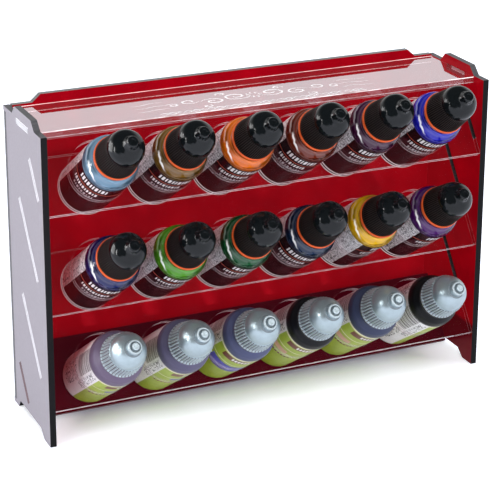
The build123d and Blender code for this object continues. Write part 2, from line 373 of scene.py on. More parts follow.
# the right panel, the back panel and the foot plate get a painted shadow on their red under
# shade_below
dress("right_side_panel", sheet_material(
    "right_panel_acrylic", X_AXIS, BACK_GREY, EDGE_DARK, EDGE_TOP_HIGHLIGHT,
    shade_below=0.0215, shade=(0.085, 0.0008, 0.004)))
dress("back_panel", sheet_material(
    "back_panel_acrylic", Y_AXIS, (0.36, 0.36, 0.38), (0.14, 0.14, 0.145), (0.19, 0.20, 0.20),
    shade_below=0.0305))
dress("foot_plate", sheet_material(
    "foot_plate_acrylic", tuple(-c for c in PLATE_NORMAL), (0.10, 0.06, 0.07),
    (0.20, 0.11, 0.12), (0.22, 0.10, 0.12), shade_below=0.060))
for k, tier in enumerate(TIERS):
    on_plate = (0.0, (PLATE_FRONT_Y + SHIFT_Y) * MM, (UPPER_FRONT_Z - TIER_DROP * k) * MM)
    dress(f"{tier}_tier_plate", clear_material(
        f"{tier}_plate_acrylic", PLATE_NORMAL, on_plate, face_tint=(0.995, 0.985, 0.985),
        haze=0.0012, edge_color=EDGE_CLEAR, edge_cover=0.16))
REAR_BEVEL = 0.7
dress("top_plate", clear_material(
    "top_plate_acrylic", Z_AXIS, (0.0, 0.0, TOP_MIDDLE_Z * MM), face_tint=(0.985, 0.96, 0.965),
    haze=0.010, edge_color=(0.98, 0.90, 0.92), edge_cover=0.03, head_on=0.02, power=1.9,
    arris_cover=0.72, arris=0.4, low_arris=0.35,
    rear_rim=node_span("top_plate", 1)[1] - REAR_BEVEL * MM))


# Turned shapes
def filleted(points, steps):
    """Turns (r, h) or (r, h, radius) corners in mm into a list of (r, h) with rounded corners.
    A quarter turn has about as many spans as steps says."""
    out = []
    last = len(points) - 1
    for i, point in enumerate(points):
        radius = point[2] if len(point) > 2 else 0.0
        here = Vector(point[:2])
        if radius <= 0 or i in (0, last):
            out.append((here.x, here.y))
            continue
        back = Vector(points[i - 1][:2]) - here
        ahead = Vector(points[i + 1][:2]) - here
        room = 0.49 * min(back.length, ahead.length)
        back.normalize()
        ahead.normalize()
        half = math.acos(max(-1.0, min(1.0, back.dot(ahead)))) / 2
        if half > math.radians(89):
            out.append((here.x, here.y))
            continue
        cut = min(radius / math.tan(half), room)
        radius = cut * math.tan(half)
        centre = here + (back + ahead).normalized() * (radius / math.sin(half))
        start = here + back * cut - centre
        end = here + ahead * cut - centre
        turn = start.angle(end)
        side = 1 if start.x * end.y - start.y * end.x > 0 else -1
        count = max(2, int(steps * turn / math.radians(90)) + 1)
        for k in range(count + 1):
            t = side * turn * k / count
            out.append((centre.x + start.x * math.cos(t) - start.y * math.sin(t),
                        centre.y + start.x * math.sin(t) + start.y * math.cos(t)))
    return out


def divided(profile, low, high, shortest, parts):
    """Divides the long stretch of a profile that starts between the heights low and high."""
    out = []
    for (r0, h0), (r1, h1) in zip(profile, profile[1:]):
        out.append((r0, h0))
        if low < h0 < high and h1 - h0 > shortest:
            for k in range(1, parts):
                out.append((r0 + (r1 - r0) * k / parts, h0 + (h1 - h0) * k / parts))
    out.append(profile[-1])
    return out


def mapped_mesh(name, verts, faces, corners):
    """A mesh with the map "mm", which has a (u, v) in mm for each corner of each face."""
    mesh = bpy.data.meshes.new(name)
    mesh.from_pydata(verts, [], faces)
    layer = mesh.uv_layers.new(name="mm")
    flat = [corner for face in corners for corner in face]
    for loop, uv in zip(layer.data, flat):
        loop.uv = uv
    return mesh


def lathe(name, profile, segments, radius_at=None, sharp=35.0, heights=False):
    """Revolves a profile of (r, h) in mm. radius_at(r, h, angle) may shape each ring. The map
    runs round the shape in u, as on the flask's wall, and in v along the outline, or up the
    height where heights is set."""
    verts, faces, corners, rings = [], [], [], []
    run = [0.0]
    for (r0, h0), (r1, h1) in zip(profile, profile[1:]):
        run.append(h1 if heights else run[-1] + math.hypot(r1 - r0, h1 - h0))
    for r, h in profile:
        if r < 1e-6:
            rings.append([len(verts)])
            verts.append((0.0, 0.0, h * MM))
            continue
        rings.append(list(range(len(verts), len(verts) + segments)))
        for k in range(segments):
            angle = 2 * math.pi * k / segments
            shaped = radius_at(r, h, angle) if radius_at else r
            verts.append((shaped * math.cos(angle) * MM, shaped * math.sin(angle) * MM, h * MM))
    for i, (below, above) in enumerate(zip(rings, rings[1:])):
        if len(below) == 1 and len(above) == 1:
            continue
        low, high = run[i], run[i + 1]
        for k in range(segments):
            after = (k + 1) % segments
            left, right = (n / segments * 2 * math.pi * FLASK_R for n in (k, k + 1))
            if len(below) == 1:
                faces.append((below[0], above[after], above[k]))
                corners.append(((left, low), (right, high), (left, high)))
            elif len(above) == 1:
                faces.append((below[k], below[after], above[0]))
                corners.append(((left, low), (right, low), (left, high)))
            else:
                faces.append((below[k], below[after], above[after], above[k]))
                corners.append(((left, low), (right, low), (right, high), (left, high)))
    mesh = mapped_mesh(name, verts, faces, corners)
    mesh.validate()
    mesh.shade_smooth()
    mesh.set_sharp_from_angle(angle=math.radians(sharp))
    return mesh


def set_slots(mesh, slot_at):
    """Gives each face of a turned mesh the material slot slot_at(r, h), with r and h in mm."""
    for face in mesh.polygons:
        centre = face.center
        face.material_index = slot_at(math.hypot(centre.x, centre.y) / MM, centre.z / MM)


def add_object(name, mesh, place, *materials):
    """Puts a mesh into the scene. Its place goes into its points, so that its box fits closely."""
    mesh.transform(place)
    for mat in materials:
        mesh.materials.append(mat)
    added = bpy.data.objects.new(name, mesh)
    bpy.context.scene.collection.objects.link(added)
    return added


def bead_top(tier):
    """The height of the top of the flask's bead above the bottle's foot, in mm."""
    return TIERS[tier]["straight"] + SHOULDER + BEAD_H


def cap_base(tier):
    return bead_top(tier) + TIERS[tier]["seat"]


def bottle_place(label, tier, turn=0.0):
    """The matrix of a bottle's own frame: origin at its foot, Z along it, and X to the right."""
    joint = joints[f"unscrew_cap_{label}"]
    axis = Vector(joint["axis"]).normalized()
    foot = Vector(joint["pos_m"]) - axis * (cap_base(tier) * MM)
    across = Vector(X_AXIS)
    upright = Matrix((across, axis.cross(across), axis)).transposed().to_4x4()
    return Matrix.Translation(foot) @ upright @ Matrix.Rotation(turn, 4, "Z")


# Materials of the bottles
# painted highlights: bright lines on the shoulder. Angles in degrees round the bottle (180 at
# its left, 270 in front), height, bend, sway and width in mm, and how much and how white the line is
SHOULDER_LINES = [
    dict(start=170, end=222, height=4.0, bend=-2.0, sway=1.3, width=0.5,
         amount=0.95, tint=0.35, white=0.66),
    dict(start=206, end=318, height=1.5, bend=0.3, sway=2.6, width=0.62,
         amount=0.60, tint=1.2, white=0.07),
    dict(start=120, end=176, height=2.6, bend=0.4, sway=2.0, width=0.5,
         amount=0.55, tint=0.6, white=0.26),
]
RING_BLUR = 0.15


def shoulder_line(nt, line, round_at, height, sway, straight):
    """How much of one painted highlight line there is: its amount in the middle, and 0 away from it.
    """
    from_left = math_node(nt, "DIVIDE", math_node(nt, "SUBTRACT", round_at, line["start"]),
                          line["end"] - line["start"])
    bend = times(nt, times(nt, from_left, from_left), line["bend"])
    waver = times(nt, math_node(nt, "SUBTRACT", sway, 0.5), line["sway"])
    middle = math_node(nt, "ADD", math_node(nt, "ADD", bend, straight + line["height"]), waver)
    off = math_node(nt, "ABSOLUTE", math_node(nt, "SUBTRACT", height, middle))
    along = times(nt, remap(nt, from_left, 0.0, 0.15, 0.0, 1.0),
                  remap(nt, from_left, 0.8, 1.0, 1.0, 0.0))
    return times(nt, along,
                 remap(nt, off, 0.5 * line["width"], line["width"], line["amount"], 0.0))


def paint_material(name, color, gloss, straight, rings, glass):
    """The flask's outer surface in the colour of its paint. Where glass is 1, darker arcs, lighter
    streaks and bright lines are painted on it, painted shade and highlights for what a thick clear
    wall would show, and the rings at the bead are paler."""
    mat, nt, out = new_material(name)
    uv = map_coords(nt)
    arcs = noise_node(nt, scaled(nt, uv, (0.05, 0.28, 1.0)), 1.0, 2.0, 0.5)
    fine = noise_node(nt, scaled(nt, uv, (0.11, 0.8, 1.0)), 1.0, 2.0, 0.6)
    # painted shade and highlight tones for the arcs and streaks round the bottle
    arc_shade = tuple(0.22 * c for c in color)
    lit = tuple(min(1.0, 1.4 * c + 0.035) for c in color)
    pale = tuple(0.85 * c + 0.06 for c in color)
    tone = mix_color(nt, remap(nt, arcs, 0.46, 0.60, 0.0, 0.85 * glass), color, arc_shade)
    tone = mix_color(nt, remap(nt, fine, 0.58, 0.66, 0.0, 0.7 * glass), tone, lit)
    height = dot(nt, uv, Y_AXIS)
    if glass > 0.5:
        round_at = times(nt, dot(nt, uv, X_AXIS), math.degrees(1 / FLASK_R))
        sway = noise_node(nt, scaled(nt, uv, (0.42, 0.05, 1.0)), 1.0, 2.0, 0.5)
        # painted highlights: the bright lines on the shoulder
        for line in SHOULDER_LINES:
            mask = shoulder_line(nt, line, round_at, height, sway, straight)
            tone = mix_color(nt, mask, tone, tuple(line["tint"] * c + line["white"] for c in color))
    for low, high, amount in rings:
        low += straight
        high += straight
        ring = times(nt, remap(nt, height, low - RING_BLUR, low, 0.0, amount),
                     remap(nt, height, high, high + RING_BLUR, 1.0, 0.0))
        tone = mix_color(nt, ring, tone, pale)
    shader = principled(nt, Base_Color=tone, Roughness=gloss,
                        Specular_IOR_Level=0.5 if glass > 0.5 else 0.2)
    wave = noise_node(nt, scaled(nt, uv, (0.13, 0.4, 1.0)), 1.0, 1.0, 0.4)
    link(nt, bump(nt, wave, 0.4 * glass + 0.01, 0.0011), shader.inputs["Normal"])
    link(nt, shader.outputs[0], out.inputs["Surface"])
    return mat


def plain_material(name, color, rough, grain_scale, grain, **more):
    """A moulded or printed surface with a slight variation of tone and a fine grain."""
    mat, nt, out = new_material(name)
    vary = noise_node(nt, object_coords(nt), grain_scale, 3.0, 0.6)
    tone = mix_color(nt, remap(nt, vary, 0.3, 0.7, 0.0, 1.0), color, tuple(0.88 * c for c in color))
    rough_at = remap(nt, vary, 0.3, 0.7, rough, min(1.0, rough * 1.25))
    shader = principled(nt, Base_Color=tone, Roughness=rough_at, **more)
    link(nt, bump(nt, vary, grain, 0.0001), shader.inputs["Normal"])
    link(nt, shader.outputs[0], out.inputs["Surface"])
    return mat


def print_material(name, color):
    """Satin print on a label."""
    return plain_material(name, color, 0.3, 260.0, 0.02)


def speckled_material(name, paper, ink):
    """Fine print that reads as a speckle: short dashes of ink."""
    mat, nt, out = new_material(name)
    uv = map_coords(nt)
    fine = noise_node(nt, scaled(nt, uv, (0.85, 1.35, 1.0)), 1.0, 1.0, 0.9)
    patches = noise_node(nt, uv, 0.16, 2.0, 0.5)
    mask = remap(nt, math_node(nt, "ADD", fine, times(nt, patches, 0.25)), 0.645, 0.685, 0.0, 1.0)
    shader = principled(nt, Base_Color=mix_color(nt, mask, paper, ink), Roughness=0.28,
                        Specular_IOR_Level=0.35)
    link(nt, shader.outputs[0], out.inputs["Surface"])
    return mat


def ribbed_material(name, ridge, groove, rough, ribs, low, high, **more):
    """Ridges that run up the skirt, with painted shade in the grooves between them; a ridge
    lighter than the cap's plastic is a painted highlight. The tone goes from groove to ridge while
    the cosine of the ribs goes from low to high."""
    mat, nt, out = new_material(name)
    wave = math_node(nt, "COSINE", times(nt, dot(nt, map_coords(nt), X_AXIS), ribs / FLASK_R))
    # painted shade in the grooves, and on the dark caps a painted highlight on the ridges
    tone = mix_color(nt, remap(nt, wave, low, high, 0.0, 1.0), groove, ridge)
    vary = noise_node(nt, object_coords(nt), 700.0, 2.0, 0.5)
    shader = principled(nt, Base_Color=tone,
                        Roughness=remap(nt, vary, 0.3, 0.7, rough, rough * 1.2), **more)
    link(nt, shader.outputs[0], out.inputs["Surface"])
    return mat


def foot_material():
    """The flask's foot under the paint, in the tone that its clear plastic has there."""
    mat, nt, out = new_material("clear_foot_plastic")
    vary = noise_node(nt, object_coords(nt), 300.0, 3.0, 0.6)
    tone = mix_color(nt, remap(nt, vary, 0.3, 0.7, 0.0, 1.0), (0.50, 0.38, 0.42),
                     (0.70, 0.60, 0.64))
    shader = principled(nt, Base_Color=tone, Roughness=0.12, Coat_Weight=0.6, Coat_Roughness=0.04)
    link(nt, shader.outputs[0], out.inputs["Surface"])
    return mat


DARK_RIBS = 60
SILVER_RIBS = 40
BLACK_DOME = plain_material("black_cap_gloss", (0.0032, 0.0044, 0.0052), 0.12, 500.0, 0.02,
                            Specular_IOR_Level=0.27)
BLACK_SKIRT = ribbed_material("black_cap_ribs", (0.050, 0.041, 0.039), (0.0006, 0.0005, 0.0006),
                              0.45, DARK_RIBS, 0.25, 1.0, Specular_IOR_Level=0.04)
# painted shade: a darker, less glossy ring at the foot of the dome
BLACK_SHADE = plain_material("black_cap_dome_foot_shade", (0.0020, 0.0026, 0.0030), 0.16, 500.0, 0.02,
                             Specular_IOR_Level=0.10)
SILVER_DOME = plain_material("silver_cap_plastic", (0.39, 0.475, 0.51), 0.30, 300.0, 0.0,
                             Metallic=0.80, Specular_IOR_Level=0.6)
SILVER_LIP = plain_material("silver_cap_lip", (0.38, 0.45, 0.48), 0.30, 300.0, 0.0)
# painted shade in the hollows round the tip and round its foot
SILVER_HOLLOW_SHADE = plain_material("silver_cap_hollow_shade", (0.14, 0.17, 0.19), 0.40, 300.0, 0.0)
SILVER_SKIRT = ribbed_material("silver_cap_ribs", (0.36, 0.43, 0.465), (0.125, 0.110, 0.122),
                               0.36, SILVER_RIBS, -0.95, -0.30, Metallic=0.4,
                               Specular_IOR_Level=0.6)
ORANGE = plain_material("orange_collar_plastic", (0.62, 0.088, 0.014), 0.32, 700.0, 0.03)
NECK_CLEAR = plain_material("clear_neck_plastic", (0.55, 0.56, 0.55), 0.12, 500.0, 0.02,
                            Coat_Weight=0.5, Coat_Roughness=0.05)
LABEL_BLACK = plain_material("label_black_print", (0.012, 0.004, 0.006), 0.20, 260.0, 0.02,
                             Specular_IOR_Level=0.3)
LABEL_MAROON = plain_material("label_maroon_print", (0.050, 0.007, 0.012), 0.22, 260.0, 0.02,
                              Specular_IOR_Level=0.3)
LABEL_ORANGE = print_material("label_orange_line", (0.62, 0.10, 0.05))
LABEL_WHITE = print_material("label_white_print", (0.86, 0.85, 0.86))
# painted highlight: the pale lines at the foot glow a little, for the glint of the clear plastic
LABEL_FOOT = plain_material("label_foot_lines_glow", (0.88, 0.86, 0.88), 0.3, 260.0, 0.02,
                            Emission_Color=(0.9, 0.86, 0.9), Emission_Strength=0.22)
LABEL_GREY = print_material("label_grey_print", (0.45, 0.43, 0.45))
LABEL_PRINT = speckled_material("label_fine_print", (0.90, 0.89, 0.91), (0.030, 0.027, 0.034))
LABEL_GREY_DARK = print_material("label_dark_grey_print", (0.14, 0.12, 0.13))
LABEL_LIME = print_material("label_lime_print", (0.36, 0.46, 0.045))
LABEL_CREAM = print_material("label_cream_print", (0.80, 0.76, 0.55))
LABEL_BROWN = print_material("label_brown_print", (0.14, 0.02, 0.012))
LABEL_PEACH = print_material("label_peach_print", (0.62, 0.36, 0.27))
LABEL_VIOLET = print_material("label_violet_print", (0.075, 0.075, 0.42))

# the paints of each tier, from left to right
PAINTS = {
    "upper": [(0.095, 0.175, 0.255), (0.115, 0.055, 0.006), (0.50, 0.098, 0.002),
              (0.100, 0.011, 0.003), (0.032, 0.003, 0.024), (0.007, 0.008, 0.29)],
    "middle": [(0.003, 0.006, 0.062), (0.050, 0.20, 0.006), (0.002, 0.052, 0.014),
               (0.003, 0.012, 0.038), (0.53, 0.30, 0.002), (0.045, 0.003, 0.085)],
    "lower": [(0.115, 0.088, 0.142), (0.085, 0.078, 0.135), (0.062, 0.070, 0.138),
              (0.0040, 0.0042, 0.006), (0.034, 0.041, 0.082), (0.0030, 0.0034, 0.004)],
}

# Caps, from their foot, in mm
DARK_RIB_DEPTH = 0.32
SILVER_RIB_DEPTH = 0.62
SILVER_DOME_R = 8.36
SILVER_DOME_RISE = 8.5
SILVER_DOME_FOOT = 10.2
DARK_SKIRT_TOP = 13.3
DARK_SHADE_TOP = 14.6
SILVER_SKIRT_TOP = 9.45


def dark_cap_mesh():
    """Ribbed skirt, glossy dome and a blunt tip, hollow from below."""
    outline = [(8.0, 0.0), (9.55, 0.0, 0.25), (9.8, 0.35), (8.62, 13.0), (8.40, 13.6, 0.5),
               (8.36, 14.9, 3.0), (7.99, 16.6, 4.0), (6.93, 18.4, 4.0), (5.15, 19.85, 3.0),
               (3.35, 21.0, 1.6), (2.85, 22.6, 1.0), (2.60, 24.2, 0.8), (2.20, 25.05, 0.7),
               (1.1, 25.05, 0.2), (0.95, 24.7, 0.2), (0.0, 24.65)]
    profile = divided(filleted(outline, 7), 0.3, 13.1, 3, 8)

    def ribbed(r, h, angle):
        if 0.34 < h < 13.05 and r > 8.5:
            fade = min(1.0, (h - 0.3) / 0.5, (13.2 - h) / 0.8)
            wave = 0.5 - 0.5 * math.cos(DARK_RIBS * angle)
            return r - DARK_RIB_DEPTH * fade * wave
        return r

    return lathe("dark_cap_mesh", profile, DARK_RIBS * 4, ribbed, sharp=50.0)


def silver_cap_mesh():
    """Coarse ribs that end in a scalloped edge under the dome, a thin lip and a ringed tip."""
    outline = [(8.0, 0.0), (10.0, 0.0, 0.2), (10.13, 0.4, 0.2), (10.0, 0.8, 0.15), (9.72, 0.85),
               (9.70, 1.2), (9.22, 9.0), (9.12, 9.4), (8.36, 9.6, 0.3)]
    # a round dome, then the tip with its lip, its hollow and the pin in its middle
    outline += [(SILVER_DOME_R * math.cos(math.radians(a)),
                 SILVER_DOME_FOOT + SILVER_DOME_RISE * math.sin(math.radians(a)))
                for a in range(0, 67, 6)]
    outline += [(3.42, 18.0, 0.3), (3.34, 20.7, 0.6), (2.7, 21.5, 0.3), (2.3, 20.6, 0.2),
                (1.8, 20.6, 0.2), (1.65, 22.3, 0.5), (1.0, 22.7, 0.3), (0.7, 22.3, 0.2),
                (0.0, 22.2)]
    profile = divided(filleted(outline, 7), 0.9, 2, 5, 9)

    def ribbed(r, h, angle):
        if 0.84 < h < 9.5 and r > 8.7:
            wave = 0.5 - 0.5 * math.cos(SILVER_RIBS * angle)
            return r - SILVER_RIB_DEPTH * wave ** 1.4 * min(1.0, (h - 0.8) / 0.4)
        return r

    return lathe("silver_cap_mesh", profile, SILVER_RIBS * 8, ribbed, sharp=50.0)


def dark_cap_slot(r, h):
    """0 the skirt, 1 the dome and 2 the painted shade at the dome's foot."""
    if h < DARK_SKIRT_TOP:
        return 0
    return 2 if h < DARK_SHADE_TOP else 1


def silver_cap_slot(r, h):
    """0 the skirt, 1 the dome, 2 the lip and the pin of the tip and 3 the painted shade in
    the hollows round them.
    """
    if h > 20.4 and 2.45 < r or h > 21.9 and r < 1.7:
        return 2
    if h > 20.4 and 1.75 < r < 2.45 or 17.7 < h < 18.7 and r < 4.2:
        return 3
    return 0 if h < SILVER_SKIRT_TOP else 1


def collar_mesh():
    profile = filleted([(7.75, 0.0), (9.9, 0.0, 0.25), (10.2, 0.3, 0.2), (10.2, 1.2, 0.2),
                        (10.0, 1.5, 0.2), (7.75, 1.5)], 4)
    return lathe("collar_mesh", profile, 96)


# Flasks
FOOT_TOP = 0.85
NECK_UNDER_BEAD = 0.55


def flask_mesh(tier):
    """A flask with its foot, shoulder, bead and neck: slot 0 paint, 1 foot and 2 neck."""
    straight = TIERS[tier]["straight"]
    bead = straight + SHOULDER
    top = cap_base(tier) + NECK_IN_CAP
    profile = filleted([
        (0.0, 0.35), (9.0, 0.35, 0.8), (10.2, 0.0, 0.5), (11.6, 0.0, 0.8), (FLASK_R, 0.9, 1.2),
        (FLASK_R, 2.0), (FLASK_R, straight - 1.0, 2.0), (12.72, straight + 0.4, 3.0),
        (12.1, straight + 3.0, 3.0), (10.4, straight + 4.9, 1.6), (9.75, straight + 5.5, 0.35),
        (9.72, straight + 5.9, 0.2), (BEAD_R, bead + 0.1, 0.2), (BEAD_R, bead + BEAD_H, 0.2),
        (NECK_R, bead + BEAD_H, 0.2), (NECK_R, top - 0.4, 0.3), (7.2, top, 0.2),
        (NECK_BORE, top),
    ], 8)
    mesh = lathe(f"{tier}_flask_mesh", profile, 128, sharp=40.0, heights=True)
    neck = bead_top(tier) - NECK_UNDER_BEAD
    set_slots(mesh, lambda r, h: 1 if h < FOOT_TOP else (2 if h > neck else 0))
    return mesh


# Labels. Angles are in degrees from the front of the bottle, heights in mm.
R_LABEL = FLASK_R + 0.05
R_PRINT = FLASK_R + 0.08
R_MARKS = FLASK_R + 0.11
BAND_STEP = 2.5


def dark_curve(angle):
    """How far the curved print of a dark label rises at an angle."""
    return 1.2 * math.cos(math.radians(1.5 * (angle + 24)))


def lime_curve(angle):
    """How far the curved print of a lime label rises at an angle."""
    return 2.0 * math.cos(math.radians(1.4 * (angle + 20)))


def band(mesh_data, radius, start, end, low, high, slot, curve=None):
    """Adds a patch of a cylinder to (verts, faces, corners, slots)."""
    verts, faces, corners, slots = mesh_data
    count = max(1, int(math.ceil(abs(end - start) / BAND_STEP)))
    first = len(verts)
    for k in range(count + 1):
        degrees = start + (end - start) * k / count
        angle = math.radians(degrees) - math.pi / 2
        lift = curve(degrees) if curve else 0.0
        for h in (low + lift, high + lift):
            verts.append((radius * math.cos(angle) * MM, radius * math.sin(angle) * MM, h * MM))
    for k in range(count):
        v = first + 2 * k
        faces.append((v, v + 2, v + 3, v + 1))
        slots.append(slot)
        left, right = (radius * math.radians(start + (end - start) * n / count)
                       for n in (k, k + 1))
        corners.append(((left, low), (right, low), (right, high), (left, high)))


def label_object(name, patches, place, body):
    """One mesh from patches, each (radius, start, end, low, high, material, its curve if any)."""
    data = ([], [], [], [])
    used = []
    for radius, start, end, low, high, mat, *curve in patches:
        if mat not in used:
            used.append(mat)
        band(data, radius, start, end, low, high, used.index(mat), *curve)
    verts, faces, corners, slots = data
    mesh = mapped_mesh(name, verts, faces, corners)
    for face, slot in zip(mesh.polygons, slots):
        face.material_index = slot
    mesh.validate()
    mesh.shade_smooth()
    label = add_object(name, mesh, place, *used)
    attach(label, body)


def dark_label(name, place, body):
    """A wrap-round label: fine print on the left, a dark panel in front with a thin curved
    line and rows of plain marks, and pale lines along the foot."""
    low, high = 0.9, 42.4
    foot_top = low + 3.2
    split = 31.0
    left, right = -76.0, 128.0
    patches = [
        (R_LABEL, left - 110, left, foot_top, high, LABEL_PRINT),
        (R_LABEL, left, right, foot_top, split, LABEL_MAROON),
        (R_LABEL, left, right, split, high, LABEL_BLACK),
        (R_LABEL, right, 360 + left - 110, foot_top, high, LABEL_PRINT),
        (R_LABEL, -180, 180, low, low + 1.0, LABEL_FOOT),
        (R_LABEL, -180, 180, low + 1.0, low + 2.2, LABEL_BLACK),
        (R_LABEL, -180, 180, low + 2.2, foot_top, LABEL_FOOT),
        (R_PRINT, left, right, 33.4, 33.9, LABEL_ORANGE, dark_curve),
    ]
    # rows of plain marks: where they start, their height, size, widths, gap and material
    rows = [
        (left + 26, 35.8, 4.2, (3.6, 5.6, 3.0, 5.6, 3.0, 3.0, 5.6, 3.0, 5.4, 3.4), 2.9,
         LABEL_WHITE),
        (left + 16, 29.0, 3.0, (2.4, 4.6, 2.4, 3.6, 2.4, 4.6, 2.4, 3.6, 4.6, 2.4, 4.6), 2.7,
         LABEL_WHITE),
        (left + 24, 25.0, 2.2, (3.6, 2.2, 4.6, 2.2, 3.6, 4.6, 2.2, 3.6, 2.2), 3.0, LABEL_GREY),
    ]
    for start, height, size, widths, gap, mat in rows:
        for width in widths:
            patches.append((R_PRINT, start, start + width, height, height + size, mat, dark_curve))
            start += width + gap
    label_object(name, patches, place, body)


def lime_label(name, place, body, number):
    """A lime wrap-round label with a cream line at its top, a dark block and, on the left, a
    white panel of bars and fine print. The block of violet or peach depends on the number."""
    low, high = 1.6, 47.2
    left, right = -38.0, 130
    patches = [(R_LABEL, left - 100, left, low, high, LABEL_WHITE)]
    # bars that run round the bottle, and panels of fine print beside and under them
    height = high - 18.0
    for k in range(13):
        thick = (0.5, 0.9, 0.5, 1.3, 0.5, 0.8)[k % 6]
        patches.append((R_PRINT, left - 72, left - 26, height, height + thick, LABEL_GREY_DARK))
        height += thick + (0.7, 0.5, 0.9)[k % 3]
    patches += [
        (R_PRINT, left - 22, left - 4, high - 26.0, high - 2.5, LABEL_PRINT),
        (R_PRINT, left - 72, left - 26, 6.0, high - 21.0, LABEL_PRINT),
        (R_LABEL, left, right, low, high - 1.6, LABEL_LIME),
        (R_LABEL, left, right, high - 1.6, high, LABEL_CREAM),
        (R_LABEL, right, 360 + left - 100, low, high, LABEL_PRINT),
        (R_PRINT, left + 22, left + 88, high - 7.6, high - 2.4, LABEL_BROWN),
    ]
    for k in range(6):
        patches.append((R_MARKS, left + 46 + 7 * k, left + 50.5 + 7 * k, high - 6.6, high - 3.6,
                        LABEL_WHITE))
    patches.append((R_PRINT, left, right, high - 15.0, high - 14.3, LABEL_CREAM, lime_curve))
    if number == 2:
        block = (left + 10, left + 96, high - 27.0, high - 17.0, LABEL_VIOLET)
    elif number in (3, 4):
        block = (left + 6, left + 44, high - 22.0, high - 17.5, LABEL_PEACH)
    else:
        block = (left + 34, left + 118, high - 19.0, high - 16.0, LABEL_VIOLET)
    patches.append((R_PRINT, *block, lime_curve))
    for k in range(7):
        patches.append((R_PRINT, left + 8 + 8 * k, left + 13 + 8 * k, 22.5, 24.0, LABEL_BROWN))
    label_object(name, patches, place, body)


# The bottles in their holes
# how far each label is turned to the right, in degrees
TURNS = {
    "upper": [31, 2, -2, 16, -8, 0],
    "middle": [10, -8, -14, 14, -40, -30],
    "lower": [12, 14, 50, 46, 40, -20],
}
# for dark-capped bottles (True) and silver-capped ones (False): pale rings on the flask, as
# from, to (mm above the straight wall) and how pale, its roughness, and how glassy it looks
RINGS = {True: [(4.15, 4.8, 0.42), (5.3, 5.7, 0.35), (-0.6, 0.1, 0.5)],
         False: [(5.5, 5.8, 0.4), (-0.5, 0.0, 0.7)]}
FLASK_ROUGH = {True: 0.06, False: 0.36}
GLASS = {True: 1.0, False: 0.12}

dark_cap = dark_cap_mesh()
set_slots(dark_cap, dark_cap_slot)
silver_cap = silver_cap_mesh()
set_slots(silver_cap, silver_cap_slot)
collar_ring = collar_mesh()
foot_clear = foot_material()
flask_meshes = {tier: flask_mesh(tier) for tier in TIERS}


def place_bottle(tier, number):
    """Puts a bottle into the scene: its flask, label and cap, and its collar if it is dark."""
    dark = TIERS[tier]["dark"]
    label = f"{tier}_{number + 1}"
    place = bottle_place(label, tier)
    turned = bottle_place(label, tier, math.radians(-TURNS[tier][number]))
    body = f"bottle_{label}"
    paint = paint_material(f"paint_{label}", PAINTS[tier][number], FLASK_ROUGH[dark],
                           TIERS[tier]["straight"], RINGS[dark], GLASS[dark])
    flask = add_object(f"flask_body_{label}", flask_meshes[tier].copy(), place,
                       paint, foot_clear, NECK_CLEAR)
    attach(flask, body)
    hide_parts(f"flask_{label}")
    if dark:
        dark_label(f"label_{label}", turned, body)
        collar = add_object(f"collar_ring_{label}", collar_ring.copy(),
                            place @ Matrix.Translation((0, 0, bead_top(tier) * MM)), ORANGE)
        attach(collar, body)
        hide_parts(f"collar_{label}")
        cap_mesh, cap_materials = dark_cap, (BLACK_SKIRT, BLACK_DOME, BLACK_SHADE)
    else:
        lime_label(f"label_{label}", turned, body, number)
        cap_mesh = silver_cap
        cap_materials = (SILVER_SKIRT, SILVER_DOME, SILVER_LIP, SILVER_HOLLOW_SHADE)
    cap = add_object(f"cap_shell_{label}", cap_mesh.copy(),
                     place @ Matrix.Translation((0, 0, cap_base(tier) * MM)), *cap_materials)
    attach(cap, f"cap_{label}")
    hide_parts(f"cap_{label}")


for tier in TIERS:
    for number in range(BOTTLES_PER_TIER):
        place_bottle(tier, number)

# Ornament on the top plate, in mm
TOP_FACE = round(node_span("top_plate", 2)[1] / MM, 3) + 0.04
ORNAMENT_Y = 14.0
BRAID_Y = 1.7
# the scrolls of one half: x, y, radius, turns, start in degrees and width of line
SCROLLS = [
    (9.0, 1.0, 7.0, 1.5, 200, 1.15), (21.5, -2.0, 6.0, 1.4, 20, 1.05),
    (32.5, 1.5, 4.6, 1.3, 200, 0.95), (41.5, -1.0, 3.4, 1.2, 20, 0.85),
    (14.5, 6.5, 3.0, 1.1, 320, 0.85), (27.0, -8.0, 2.8, 1.1, 120, 0.85),
]


def ribbon(data, points, width):
    """Adds a flat line through points (x, y) that lies on the top plate and tapers at its ends."""
    verts, faces = data
    first = len(verts)
    for k, (x, y) in enumerate(points):
        before = points[max(0, k - 1)]
        after = points[min(len(points) - 1, k + 1)]
        run = Vector((after[0] - before[0], after[1] - before[1])).normalized()
        half = 0.5 * width * math.sin(math.pi * (k + 0.6) / (len(points) + 0.2)) ** 0.5
        for side in (-1, 1):
            verts.append(((x - side * run.y * half) * MM, (y + side * run.x * half) * MM,
                          TOP_FACE * MM))
    for k in range(len(points) - 1):
        v = first + 2 * k
        faces.append((v + 1, v, v + 2, v + 3))


def scroll(x, y, radius, turns, start, hand):
    """Points of a spiral that winds in towards x, y."""
    count = int(26 * turns)
    out = []
    for k in range(count + 1):
        t = k / count
        angle = math.radians(start) + hand * 2 * math.pi * turns * t
        r = radius * (1 - 0.86 * t)
        out.append((x + r * math.cos(angle), y + 0.72 * r * math.sin(angle)))
    return out


def petal(direction):
    """Points of a short curved line that runs out from the middle of the ornament."""
    out = []
    for t in range(7):
        angle = direction + 0.35 * math.sin(math.pi * t / 6)
        reach = 1 + 0.55 * t / 3
        out.append((2.0 * math.cos(angle) * reach, ORNAMENT_Y + 2.0 * math.sin(angle) * reach))
    return out


